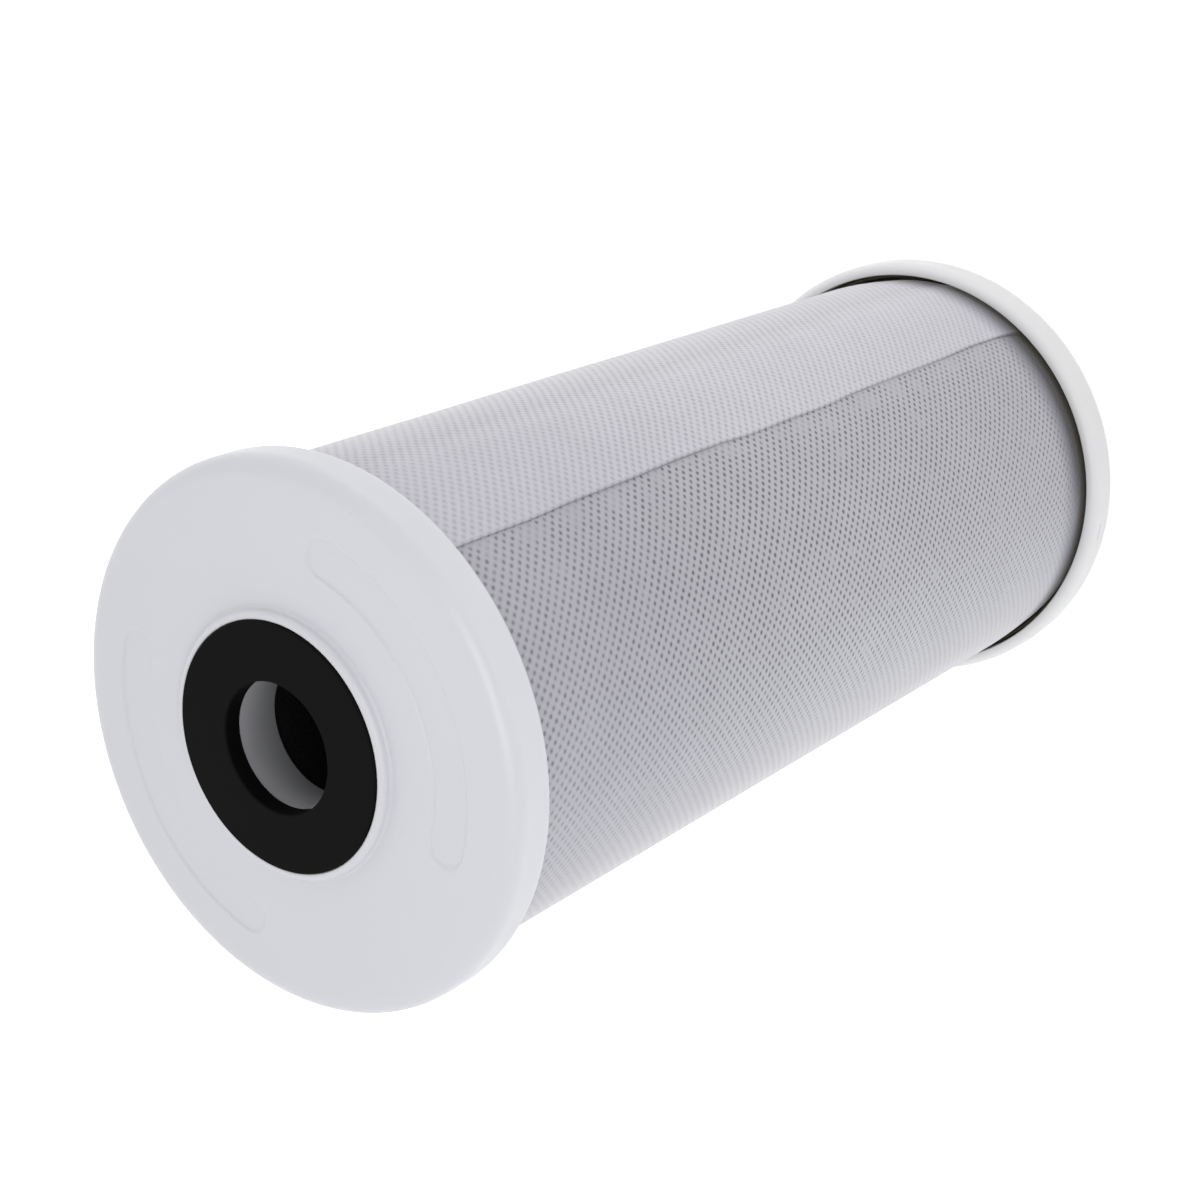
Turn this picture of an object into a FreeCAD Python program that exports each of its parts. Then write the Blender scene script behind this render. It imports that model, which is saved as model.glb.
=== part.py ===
import FreeCAD, Part
import math
import os

import Sketcher
from FreeCAD import Placement, Rotation, Vector

# Whole house filter cartridge, in millimetres.
# The cartridge stands on its bottom gasket at z = 0, with its axis on Z.
# Both ends are the same moulding, gasket and glue bed, turned over at the top.

# Driving sizes, each set once.
SIZES = {
    # whole cartridge
    "overall_length": 250.0,
    # moulded end cap
    "cap_diameter": 110.0,
    "skirt_height": 11.2,
    "skirt_wall": 3.0,
    "floor_thickness": 3.0,
    "face_edge_radius": 4.2,
    # collar and seat of the gasket
    "gasket_diameter": 49.6,
    "gasket_bore": 26.1,
    "gasket_thickness": 4.0,
    "gasket_proud": 2.5,
    "seat_clearance": 0.1,
    "collar_wall": 1.6,
    "collar_height": 2.1,
    "collar_chamfer": 0.8,
    # neck that locates the cap in the core
    "neck_bore": 27.4,
    "neck_wall": 2.0,
    "neck_depth": 11.6,
    "core_clearance": 0.175,
    # shallow arc panels on the cap's face
    "panel_inner_radius": 36.2,
    "panel_width": 8.0,
    "panel_arc_angle": 88.0,
    "panel_end_fullness": 0.54,
    "panel_depth": 0.4,
    # carbon block
    "block_clearance": 1.4,
    "taper_depth": 1.4,
    "taper_beyond_rim": 5.5,
    # glue bed in each cup
    "bed_thickness": 1.0,
    # sheet rolled once round the block
    "sheet_thickness": 0.45,
    "sheet_fit": 0.05,
    "lap_gap": 0.15,
    "lap_width": 21.8,
    "lap_ramp_width": 3.6,
    "seam_azimuth": 294.0,
}

# Sizes that follow from the driving ones, as expressions on the spreadsheet.
LENGTH = "Sizes.overall_length"
CAP_RADIUS = "Sizes.cap_diameter / 2"
CUP_RADIUS = f"({CAP_RADIUS} - Sizes.skirt_wall)"
FACE_Z = "Sizes.gasket_proud"
RIM_Z = f"({FACE_Z} + Sizes.skirt_height)"
FLOOR_Z = f"({FACE_Z} + Sizes.floor_thickness)"
BLOCK_END_Z = f"({FLOOR_Z} + Sizes.bed_thickness)"
SHOULDER_Z = f"({RIM_Z} + Sizes.taper_beyond_rim)"
SEAT_RADIUS = "(Sizes.gasket_diameter / 2 + Sizes.seat_clearance)"
COLLAR_RADIUS = f"({SEAT_RADIUS} + Sizes.collar_wall)"
COLLAR_Z = f"({FACE_Z} - Sizes.collar_height)"
NECK_RADIUS = "(Sizes.neck_bore / 2 + Sizes.neck_wall)"
NECK_Z = f"({FACE_Z} + Sizes.neck_depth)"
CORE_RADIUS = f"({NECK_RADIUS} + Sizes.core_clearance)"
BLOCK_RADIUS = f"({CUP_RADIUS} - Sizes.block_clearance)"
BLOCK_END_RADIUS = f"({BLOCK_RADIUS} - Sizes.taper_depth)"
TAPER_RUN = f"({SHOULDER_Z} - {BLOCK_END_Z})"
TAPER_SLANT = f"sqrt({TAPER_RUN} ^ 2 + Sizes.taper_depth ^ 2)"
PANEL_INNER_RADIUS = "Sizes.panel_inner_radius"
PANEL_OUTER_RADIUS = "(Sizes.panel_inner_radius + Sizes.panel_width)"
PANEL_END_RADIUS = "(Sizes.panel_end_fullness * Sizes.panel_width)"

# The sheet's faces, as distances out from the block's side.
SHEET_IN = "Sizes.sheet_fit"
SHEET_OUT = "(Sizes.sheet_fit + Sizes.sheet_thickness)"
LAP_IN = f"({SHEET_OUT} + Sizes.lap_gap)"
LAP_OUT = f"({LAP_IN} + Sizes.sheet_thickness)"
LAP_ANGLE = f"(Sizes.lap_width / {BLOCK_RADIUS} * 180 / pi)"
RAMP_ANGLE = f"(Sizes.lap_ramp_width / {BLOCK_RADIUS} * 180 / pi)"

# For each millimetre out from the block, the shoulder's corner moves this far towards the
# end, and the taper's foot this far out.
SHOULDER_LEAN = f"(({TAPER_SLANT} - {TAPER_RUN}) / Sizes.taper_depth)"
FOOT_SPREAD = f"({TAPER_SLANT} / {TAPER_RUN})"

# Degrees at which the rounding of the cap's face edge has its corners, from the face to the side.
ROUNDING_STEPS = (0, 30, 60, 90)

doc = FreeCAD.newDocument("FilterCartridge")


def make_spreadsheet():
    """Put every driving size in one spreadsheet cell with an alias."""
    spreadsheet = doc.addObject("Spreadsheet::Sheet", "Sizes")
    for row, (alias, value) in enumerate(SIZES.items(), start=1):
        spreadsheet.set(f"A{row}", alias)
        spreadsheet.set(f"B{row}", str(value))
        spreadsheet.setAlias(f"B{row}", alias)
    doc.recompute()
    return spreadsheet


sizes = make_spreadsheet()


def value_of(expression):
    """Evaluate an expression on the spreadsheet as a plain number."""
    result = sizes.evalExpression(expression)
    return float(getattr(result, "Value", result))


def new_body(label):
    """Make a body whose label names its file."""
    body = doc.addObject("PartDesign::Body", label)
    body.Label = label
    return body


def origin_plane(body, role):
    """Find one of the body's own origin planes by its role."""
    return next(item for item in body.Origin.OriginFeatures if item.Role == role)


def new_sketch(body, name, role="XZ_Plane"):
    """Attach a sketch to an origin plane of its own body."""
    sketch = body.newObject("Sketcher::SketchObject", name)
    sketch.AttachmentSupport = [(origin_plane(body, role), "")]
    sketch.MapMode = "FlatFace"
    return sketch


def arc_between(start, end, radius, side):
    """Short arc from start to end, its centre left of the run (side 1) or right of it (-1)."""
    middle = (start + end) * 0.5
    run = end - start
    rise = math.sqrt(max(radius ** 2 - (run.Length / 2) ** 2, 0.0))
    normal = Vector(-run.y, run.x, 0).normalize()
    centre = middle + normal * rise * side
    first = math.atan2(start.y - centre.y, start.x - centre.x)
    last = math.atan2(end.y - centre.y, end.x - centre.x)
    circle = Part.Circle(centre, Vector(0, 0, 1), radius)
    if side > 0:
        return Part.ArcOfCircle(circle, first, last), True
    return Part.ArcOfCircle(circle, last, first), False


def draw_outline(sketch, corners):
    """Draw a closed outline whose corners are bound to the spreadsheet.

    Each corner is (x, y) or (x, y, radius, side). With a radius, the run from
    that corner to the next is an arc instead of a line.
    """
    points = [Vector(value_of(c[0]), value_of(c[1]), 0) for c in corners]
    ends = []
    for index, corner in enumerate(corners):
        start = points[index]
        end = points[(index + 1) % len(points)]
        if len(corner) == 4:
            curve, forward = arc_between(start, end, value_of(corner[2]), corner[3])
        else:
            curve, forward = Part.LineSegment(start, end), True
        geometry = sketch.addGeometry(curve, False)
        ends.append((geometry, 1, 2) if forward else (geometry, 2, 1))
    for index, (geometry, first, last) in enumerate(ends):
        follower, start_point = ends[(index + 1) % len(ends)][:2]
        sketch.addConstraint(
            Sketcher.Constraint("Coincident", geometry, last, follower, start_point))
    for corner, (geometry, first, last) in zip(corners, ends):
        bind_distance(sketch, "DistanceX", geometry, first, corner[0])
        bind_distance(sketch, "DistanceY", geometry, first, corner[1])
        if len(corner) == 4:
            radius = value_of(corner[2])
            number = sketch.addConstraint(Sketcher.Constraint("Radius", geometry, radius))
            sketch.setExpression(f"Constraints[{number}]", corner[2])


def bind_distance(sketch, kind, geometry, point, expression):
    """Bind one coordinate of a point to the spreadsheet, or put the point on the axis."""
    distance = value_of(expression)
    if distance == 0:
        axis = -1 if kind == "DistanceY" else -2
        sketch.addConstraint(Sketcher.Constraint("PointOnObject", geometry, point, axis))
        return
    number = sketch.addConstraint(Sketcher.Constraint(kind, geometry, point, distance))
    sketch.setExpression(f"Constraints[{number}]", expression)


def revolve(body, sketch, name, angle=None, backwards=False):
    """Turn a section about Z, the whole way round or through a bound angle."""
    turned = body.newObject("PartDesign::Revolution", name)
    turned.Profile = sketch
    turned.ReferenceAxis = (sketch, ["V_Axis"])
    turned.Reversed = backwards
    if angle is None:
        turned.Angle = 360.0
    else:
        turned.setExpression("Angle", angle)
    return turned


def turn_sketch(sketch, angle):
    """Turn a section's plane about Z by a bound angle."""
    sketch.AttachmentOffset = Placement(Vector(0, 0, 0), Rotation(Vector(0, 1, 0), value_of(angle)))
    sketch.setExpression("AttachmentOffset.Rotation.Angle", angle)


def turn_over(body):
    """Turn a bottom piece over to the top end."""
    body.Placement = Placement(Vector(0, 0, value_of(LENGTH)), Rotation(Vector(1, 0, 0), 180))
    body.setExpression("Placement.Base.z", LENGTH)


def turn_to_seam(body):
    """Turn a piece that has the sheet's lap so that the lap's free edge lies at the seam."""
    angle = f"Sizes.seam_azimuth + {LAP_ANGLE}"
    body.Placement = Placement(Vector(0, 0, 0), Rotation(Vector(0, 0, 1), value_of(angle)))
    body.setExpression("Placement.Rotation.Angle", angle)


# The moulded cap, modelled as the bottom one

def rounded_edge():
    """Corners of the cap's rounded edge, which runs from the face to the side in three bands."""
    edge = "Sizes.face_edge_radius"
    return [
        (f"{CAP_RADIUS} - {edge} * (1 - sin({degrees}))", f"{FACE_Z} + {edge} * (1 - cos({degrees}))")
        for degrees in ROUNDING_STEPS
    ]


def cap_section(body):
    """Half section of the cap: seat, collar, face, skirt, cup and neck."""
    bore = "Sizes.neck_bore / 2"
    seat = "Sizes.gasket_thickness"
    chamfer = "Sizes.collar_chamfer"
    sketch = new_sketch(body, "CapSection")
    draw_outline(sketch, [
        (bore, seat),
        (SEAT_RADIUS, seat),
        (SEAT_RADIUS, COLLAR_Z),
        (f"{COLLAR_RADIUS} - {chamfer}", COLLAR_Z),
        (COLLAR_RADIUS, f"{COLLAR_Z} + {chamfer}"),
        (COLLAR_RADIUS, FACE_Z),
        *rounded_edge(),
        (CAP_RADIUS, RIM_Z),
        (CUP_RADIUS, RIM_Z),
        (CUP_RADIUS, FLOOR_Z),
        (NECK_RADIUS, FLOOR_Z),
        (NECK_RADIUS, NECK_Z),
        (bore, NECK_Z),
    ])
    return sketch


def panel_sketch(body):
    """Outline of one arc panel on the cap's flat face."""
    half = "Sizes.panel_arc_angle / 2"
    sketch = new_sketch(body, "PanelOutline", "XY_Plane")
    sketch.AttachmentOffset = Placement(Vector(0, 0, value_of(FACE_Z)), Rotation())
    sketch.setExpression("AttachmentOffset.Base.z", FACE_Z)
    draw_outline(sketch, [
        (f"{PANEL_OUTER_RADIUS} * sin({half})", f"{PANEL_OUTER_RADIUS} * cos({half})",
         PANEL_OUTER_RADIUS, 1),
        (f"-{PANEL_OUTER_RADIUS} * sin({half})", f"{PANEL_OUTER_RADIUS} * cos({half})",
         PANEL_END_RADIUS, 1),
        (f"-{PANEL_INNER_RADIUS} * sin({half})", f"{PANEL_INNER_RADIUS} * cos({half})",
         PANEL_INNER_RADIUS, -1),
        (f"{PANEL_INNER_RADIUS} * sin({half})", f"{PANEL_INNER_RADIUS} * cos({half})",
         PANEL_END_RADIUS, 1),
    ])
    return sketch


def make_cap(label):
    """One moulded cap: a turned section with two arc panels sunk in its face."""
    body = new_body(label)
    moulding = revolve(body, cap_section(body), "CapMoulding")
    doc.recompute()
    plain_volume = moulding.Shape.Volume
    panel = body.newObject("PartDesign::Pocket", "ArcPanel")
    panel.Profile = panel_sketch(body)
    panel.Reversed = True
    panel.setExpression("Length", "Sizes.panel_depth")
    pattern = body.newObject("PartDesign::PolarPattern", "ArcPanels")
    pattern.Originals = [panel]
    pattern.Axis = (origin_plane(body, "Z_Axis"), [""])
    pattern.Angle = 360.0
    pattern.Occurrences = 2
    body.Tip = pattern
    doc.recompute()
    if body.Shape.Volume >= plain_volume:
        raise RuntimeError(f"{label}: the arc panels cut nothing")
    return body


# The gasket

def make_gasket(label):
    """Flat rubber ring, cut square."""
    inner = "Sizes.gasket_bore / 2"
    outer = "Sizes.gasket_diameter / 2"
    height = "Sizes.gasket_thickness"
    body = new_body(label)
    sketch = new_sketch(body, "GasketSection")
    draw_outline(sketch, [
        (inner, "0"),
        (outer, "0"),
        (outer, height),
        (inner, height),
    ])
    revolve(body, sketch, "GasketRing")
    return body


# The carbon block and the sheet round it

def side_outline(offset):
    """Corners up the side of the block at an offset: taper, side, taper."""
    foot = f"{BLOCK_END_RADIUS} + {offset} * {FOOT_SPREAD}"
    side = f"{BLOCK_RADIUS} + {offset}"
    lean = f"{offset} * {SHOULDER_LEAN}"
    return [
        (foot, BLOCK_END_Z),
        (side, f"{SHOULDER_Z} - {lean}"),
        (side, f"{LENGTH} - {SHOULDER_Z} + {lean}"),
        (foot, f"{LENGTH} - {BLOCK_END_Z}"),
    ]


def make_block():
    """The carbon block: a tube whose ends taper to enter the cups."""
    body = new_body("carbon_block")
    sketch = new_sketch(body, "BlockSection")
    draw_outline(sketch, side_outline("0") + [
        (CORE_RADIUS, f"{LENGTH} - {BLOCK_END_Z}"),
        (CORE_RADIUS, BLOCK_END_Z),
    ])
    revolve(body, sketch, "BlockTube")
    return body


def sheet_section(body, name, inner, outer):
    """Section of the sheet from its bottom edge to its top edge, between two offsets."""
    sketch = new_sketch(body, name)
    draw_outline(sketch, side_outline(outer) + side_outline(inner)[::-1])
    return sketch


def make_wrap():
    """The sheet: one turn on the block, a ramp over its own edge, and the lap on top."""
    body = new_body("outer_wrap")
    turn = sheet_section(body, "TurnSection", SHEET_IN, SHEET_OUT)
    revolve(body, turn, "SheetTurn", f"360 - {RAMP_ANGLE}", backwards=True)
    ramp_foot = sheet_section(body, "RampFoot", SHEET_IN, SHEET_OUT)
    turn_sketch(ramp_foot, RAMP_ANGLE)
    ramp_head = sheet_section(body, "RampHead", LAP_IN, LAP_OUT)
    ramp = body.newObject("PartDesign::AdditiveLoft", "SheetRamp")
    ramp.Profile = ramp_foot
    ramp.Sections = [ramp_head]
    ramp.Ruled = True
    lap = sheet_section(body, "LapSection", LAP_IN, LAP_OUT)
    revolve(body, lap, "SheetLap", LAP_ANGLE, backwards=True)
    turn_to_seam(body)
    return body


# The glue beds

def make_glue_bed(label):
    """Flat ring of glue that bonds the block's end and the sheet's edge into the cup."""
    body = new_body(label)
    sketch = new_sketch(body, "GlueSection")
    draw_outline(sketch, [
        (NECK_RADIUS, FLOOR_Z),
        (CUP_RADIUS, FLOOR_Z),
        (CUP_RADIUS, BLOCK_END_Z),
        (NECK_RADIUS, BLOCK_END_Z),
    ])
    revolve(body, sketch, "GlueRing")
    return body


def check_document():
    """Stop if any object of the document failed to compute."""
    for item in doc.Objects:
        if "Invalid" in item.State or "Error" in item.State:
            raise RuntimeError(f"{item.Label}: {item.State}")


def check_body(body):
    """Stop unless the body holds one valid solid."""
    shape = body.Shape
    if shape.isNull() or not shape.isValid() or len(shape.Solids) != 1:
        raise RuntimeError(f"{body.Label}: not one valid solid")


bodies = [
    make_cap("bottom_end_cap"),
    make_cap("top_end_cap"),
    make_gasket("bottom_gasket"),
    make_gasket("top_gasket"),
    make_block(),
    make_wrap(),
    make_glue_bed("bottom_glue_bed"),
    make_glue_bed("top_glue_bed"),
]
for body in bodies:
    if body.Label.startswith("top_"):
        turn_over(body)
doc.recompute()
check_document()
for body in bodies:
    check_body(body)

os.makedirs("parts", exist_ok=True)
for body in bodies:
    body.Shape.exportStep(os.path.join("parts", f"{body.Label}.step"))
    print(f"{body.Label}: volume {body.Shape.Volume:.1f}")
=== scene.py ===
"""Dressed surfaces of a whole house filter cartridge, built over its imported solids.

The cartridge stands on its bottom gasket with its axis on Z. Lengths are in metres.
"""

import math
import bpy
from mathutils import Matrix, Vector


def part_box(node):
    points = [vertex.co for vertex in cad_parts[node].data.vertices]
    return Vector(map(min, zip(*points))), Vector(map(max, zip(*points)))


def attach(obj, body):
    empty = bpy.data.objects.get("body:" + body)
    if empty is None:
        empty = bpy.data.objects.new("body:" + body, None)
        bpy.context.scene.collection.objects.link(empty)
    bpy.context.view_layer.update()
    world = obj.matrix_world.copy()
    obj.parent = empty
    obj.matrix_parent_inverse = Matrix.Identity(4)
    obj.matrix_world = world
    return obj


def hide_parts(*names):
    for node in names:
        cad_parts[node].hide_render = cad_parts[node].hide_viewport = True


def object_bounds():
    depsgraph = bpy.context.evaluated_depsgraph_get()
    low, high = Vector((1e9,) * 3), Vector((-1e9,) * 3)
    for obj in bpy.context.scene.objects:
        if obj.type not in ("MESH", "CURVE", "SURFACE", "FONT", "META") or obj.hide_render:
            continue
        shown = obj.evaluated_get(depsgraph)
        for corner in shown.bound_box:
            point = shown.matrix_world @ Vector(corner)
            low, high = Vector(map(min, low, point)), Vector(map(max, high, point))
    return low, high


bl_info = {
    "name": "Whole house filter cartridge",
    "version": (1, 0, 0),
    "blender": (4, 5, 0),
    "location": "View3D > Sidebar > Cartridge",
    "description": "Builds the caps, gaskets, carbon block, sheet, glue and studio of a cartridge",
    "category": "Add Mesh",
}

import bpy
import numpy as np
from bpy.props import FloatProperty, FloatVectorProperty, IntProperty, PointerProperty
from mathutils import Matrix, Vector

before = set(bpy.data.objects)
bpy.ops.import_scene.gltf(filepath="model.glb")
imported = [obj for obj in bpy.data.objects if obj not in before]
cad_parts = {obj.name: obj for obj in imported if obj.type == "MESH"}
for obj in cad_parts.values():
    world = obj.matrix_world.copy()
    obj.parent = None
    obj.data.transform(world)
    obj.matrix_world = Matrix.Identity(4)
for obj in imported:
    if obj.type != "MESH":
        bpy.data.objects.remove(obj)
CAD_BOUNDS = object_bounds()
BODY = "root"

CAP_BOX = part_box("bottom_end_cap")
GASKET_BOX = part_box("bottom_gasket")
BLOCK_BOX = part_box("carbon_block")
GLUE_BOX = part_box("bottom_glue_bed")

FULL_TURN = 2 * math.pi

# How far the carbon block's ends taper in, and over which height
TAPER_DEPTH = 0.0014
TAPER_LENGTH = 0.0127


def length_property(name, description, default):
    """A length in metres that the sidebar shows in the scene's own unit."""
    return FloatProperty(name=name, description=description, default=default, unit="LENGTH",
                         precision=5)


def colour_property(name, description, default):
    """A linear colour with a picker."""
    return FloatVectorProperty(name=name, description=description, default=default, size=3,
                               min=0.0, max=1.0, subtype="COLOR")


class CartridgeSizes(bpy.types.PropertyGroup):
    """Lengths of the dressed pieces."""

    overall_length: length_property(
        "Overall length", "From gasket face to gasket face", CAD_BOUNDS[1].z)
    cap_radius: length_property("Cap radius", "Outside of the moulded cap", CAP_BOX[1].x)
    cap_face: length_property("Cap face", "Height of the cap's flat face", 0.0025)
    cap_rim: length_property("Cap rim", "Height of the skirt's rim", 0.0137)
    cap_floor: length_property("Cup floor", "Height of the cup's floor", GLUE_BOX[0].z)
    skirt_wall: length_property("Skirt wall", "Thickness of the skirt", 0.003)
    edge_radius: length_property("Edge radius", "Rounding between face and skirt", 0.0042)
    collar_radius: length_property("Collar radius", "Outside of the collar", 0.0265)
    collar_top: length_property("Collar top", "Height of the collar's lip", CAP_BOX[0].z)
    seat_radius: length_property("Seat radius", "Wall of the gasket's seat", 0.02485)
    neck_bore: length_property("Neck bore", "Radius of the hole through the cap", 0.0137)
    neck_radius: length_property("Neck radius", "Outside of the neck in the core", 0.0157)
    panel_radius: length_property("Panel radius", "Middle line of the arc panels", 0.0402)
    panel_half_width: length_property("Panel half width", "Half the panels' width", 0.004)
    panel_depth: length_property("Panel depth", "How far the panels are sunk", 0.0004)
    panel_half_angle: FloatProperty(
        name="Panel half angle", description="From a panel's middle to where its end starts",
        default=math.radians(44.0), subtype="ANGLE")
    gasket_bore: length_property("Gasket bore", "Radius of the gasket's hole", 0.01305)
    core_radius: length_property("Core radius", "Radius of the block's core", 0.015875)
    sheet_radius: length_property(
        "Sheet radius", "Outside of the single layer", BLOCK_BOX[1].x + 0.0005)
    sheet_thickness: length_property("Sheet thickness", "One layer of the sheet", 0.00045)
    lap_width: FloatProperty(
        name="Lap width", description="Angle over which the sheet lies double",
        default=math.radians(24.7), subtype="ANGLE")
    ramp_width: FloatProperty(
        name="Ramp width", description="Angle over which the sheet climbs over its own edge",
        default=math.radians(7.5), subtype="ANGLE")
    seam_angle: FloatProperty(
        name="Seam angle", description="Where the sheet's free edge lies round the axis",
        default=math.radians(294.0), subtype="ANGLE")
    bond_columns: IntProperty(
        name="Bond columns", description="Columns of bond points round the sheet",
        default=132, min=1)
    bond_pitch: length_property("Bond pitch", "From one row of bond cells to the next", 0.002385)


class CartridgeColours(bpy.types.PropertyGroup):
    """Linear colours of the finishes."""

    cap: colour_property("Cap", "White moulded polypropylene", (0.70, 0.705, 0.745))
    # The bottom end's cap colour is painted paler and more neutral, standing in for the light
    # there
    cap_bottom_painted_light: colour_property("Warm cap", "The same plastic at the bottom end",
                              (0.855, 0.855, 0.865))
    gasket: colour_property("Gasket", "Black rubber", (0.003, 0.003, 0.003))
    carbon: colour_property("Carbon", "Pressed activated carbon", (0.006, 0.006, 0.0065))
    cloth: colour_property("Cloth", "Sheet over the block", (0.398, 0.390, 0.434))
    cloth_double: colour_property("Double cloth", "Sheet where it laps", (0.535, 0.525, 0.577))
    bond: colour_property("Bond point", "Where the carbon shows through", (0.035, 0.034, 0.039))
    glue: colour_property("Glue", "Hot melt darkened by carbon", (0.10, 0.088, 0.06))


class CartridgeStudio(bpy.types.PropertyGroup):
    """Camera and lights."""

    lens: FloatProperty(name="Lens", description="Focal length on a 36 mm sensor",
                        default=67.837, unit="CAMERA")
    camera_place: FloatVectorProperty(
        name="Camera place", description="Where the camera stands",
        default=(0.00624, -0.32386, 0.52541), size=3, subtype="TRANSLATION", precision=5)
    camera_target: FloatVectorProperty(
        name="Camera target", description="A point on the camera's line of sight",
        default=(0.0011022, 0.0000175, 0.1480812), size=3, subtype="TRANSLATION", precision=5)
    camera_roll: FloatProperty(
        name="Camera roll", description="Turn of the camera about its line of sight",
        default=math.radians(113.684), subtype="ANGLE")
    sky: FloatProperty(name="Sky", description="Strength of the white surroundings",
                       default=1.0, min=0.0)
    front_share: FloatProperty(name="Front share", default=0.05, min=0.0, max=1.0,
                               description="Share of the sky's light that comes from the front")
    upper_light: FloatProperty(name="Upper light", description="Softbox on the seam's side",
                               default=0.2, min=0.0, unit="POWER")
    lower_light: FloatProperty(name="Lower light", description="Softbox on the other side",
                               default=0.08, min=0.0, unit="POWER")
    key_light: FloatProperty(name="Key light", description="Softbox beside the camera",
                             default=1.58, min=0.0, unit="POWER")
    front_light: FloatProperty(name="Front light", description="Low softbox before the cartridge",
                               default=0.27, min=0.0, unit="POWER")


# Shapes as whole arrays

def soft_corner(before, corner, after, radius, steps):
    """Points of one rounded corner, with a support point on each run beside it.

    The arc touches both runs. Its centre lies on their bisector at radius / sin(half the
    angle between them), and it starts and ends radius / tan(half) from the corner.
    """
    before, corner, after = (np.array(point, float) for point in (before, corner, after))
    back = (before - corner) / np.linalg.norm(before - corner)
    on = (after - corner) / np.linalg.norm(after - corner)
    half = math.acos(np.clip(back @ on, -1.0, 1.0)) / 2
    setback = radius / math.tan(half)
    bisector = (back + on) / np.linalg.norm(back + on)
    centre = corner + bisector * radius / math.sin(half)
    start = corner + back * setback - centre
    end = corner + on * setback - centre
    turn = math.atan2(start[0] * end[1] - start[1] * end[0], start @ end)
    angles = np.linspace(0.0, turn, steps + 1)
    arc = centre + np.stack([start[0] * np.cos(angles) - start[1] * np.sin(angles),
                             start[0] * np.sin(angles) + start[1] * np.cos(angles)], axis=1)
    margin = radius * 0.12
    return np.concatenate([[arc[0] + back * margin], arc, [arc[-1] + on * margin]])


def soft_outline(corners, runs=()):
    """Closed outline of corners (radius, height, rounding, steps of its arc).

    runs holds (corner index, points): points laid on the run that leaves that corner.
    """
    extra = dict(runs)
    parts = []
    for index, (radius, height, rounding, steps) in enumerate(corners):
        before = corners[index - 1][:2]
        after = corners[(index + 1) % len(corners)][:2]
        parts.append(soft_corner(before, (radius, height), after, rounding, steps))
        if index in extra:
            parts.append(np.array(extra[index], float))
    return np.concatenate(parts)


def turned(outline, angles):
    """Surface of revolution: each outline point (r, z) becomes (r cos a, r sin a, z)."""
    radius = outline[:, 0][:, None]
    height = outline[:, 1][:, None]
    return np.stack([radius * np.cos(angles), radius * np.sin(angles),
                     np.broadcast_to(height, (len(outline), len(angles)))], axis=2)


def grid_faces(rows, columns, closed_rows, closed_columns):
    """Corner indices of each quad of a rows by columns grid, closed round where asked."""
    row = np.arange(rows if closed_rows else rows - 1)
    column = np.arange(columns if closed_columns else columns - 1)
    row, column = np.meshgrid(row, column, indexing="ij")
    next_row = (row + 1) % rows
    next_column = (column + 1) % columns
    return np.stack([row * columns + column, row * columns + next_column,
                     next_row * columns + next_column, next_row * columns + column],
                    axis=2).reshape(-1, 4)


def signed_volume(points, quads):
    """Six times the volume that the quads close, positive when they face outwards."""
    a, b, c, d = (points[quads[:, index]] for index in range(4))
    return float((a * np.cross(b, c)).sum() + (a * np.cross(c, d)).sum())


def make_piece(name, grid, material, nodes, closed_rows=True, closed_columns=True,
               pattern=None, fields=None):
    """Make a mesh object from a grid of points, with its pattern map and point fields."""
    rows, columns = grid.shape[:2]
    points = grid.reshape(-1, 3)
    quads = grid_faces(rows, columns, closed_rows, closed_columns)
    if signed_volume(points, quads) < 0:
        quads = quads[:, ::-1]
    mesh = bpy.data.meshes.new(name)
    mesh.vertices.add(len(points))
    mesh.vertices.foreach_set("co", points.astype(np.float32).ravel())
    mesh.loops.add(quads.size)
    mesh.loops.foreach_set("vertex_index", quads.astype(np.int32).ravel())
    mesh.polygons.add(len(quads))
    mesh.polygons.foreach_set("loop_start", np.arange(0, quads.size, 4, dtype=np.int32))
    mesh.polygons.foreach_set("use_smooth", np.ones(len(quads), bool))
    if pattern is not None:
        layer = mesh.uv_layers.new(name="pattern")
        layer.uv.foreach_set("vector", pattern.reshape(-1, 2)[quads].astype(np.float32).ravel())
    for field, values in (fields or {}).items():
        attribute = mesh.attributes.new(field, "FLOAT", "POINT")
        attribute.data.foreach_set("value", values.astype(np.float32).ravel())
    mesh.update()
    mesh.validate()
    mesh.materials.append(material)
    piece = bpy.data.objects.new(name, mesh)
    bpy.context.scene.collection.objects.link(piece)
    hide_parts(*nodes)
    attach(piece, BODY)
    return piece


def turned_over(grid, length):
    """The same piece at the other end: half a turn about X, then lifted by the length."""
    return grid * np.array([1.0, -1.0, -1.0]) + np.array([0.0, 0.0, length])


def make_pair(name, grid, material, node, length):
    """Make a piece at the bottom end, and the same one turned over at the top end."""
    make_piece(f"{name}_bottom", grid, material, [f"bottom_{node}"])
    make_piece(f"{name}_top", turned_over(grid, length), material, [f"top_{node}"])


def ring_angles(count):
    """Angles evenly round the axis."""
    return np.linspace(0.0, FULL_TURN, count, endpoint=False)


def smooth_step(low, high, values):
    """0 below low, 1 above high, and 3t^2 - 2t^3 between them."""
    share = np.clip((values - low) / (high - low), 0.0, 1.0)
    return share * share * (3.0 - 2.0 * share)


def bulge(azimuth, middle, width):
    """A bell over the azimuth: 1 in the middle and 1/e at the width, both in degrees."""
    return np.exp(-((azimuth - math.radians(middle)) / math.radians(width)) ** 2)


def slow_waves(angle, height, seed, count=9):
    """Gentle unevenness from -1 to 1: a sum of waves that close round the axis."""
    random = np.random.default_rng(seed)
    total = np.zeros(np.broadcast(angle, height).shape)
    for _ in range(count):
        around = random.integers(1, 9)
        along = random.uniform(-90.0, 90.0)
        total = total + np.sin(around * angle + along * height + random.uniform(0, FULL_TURN))
    return total / count


# Materials

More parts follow.
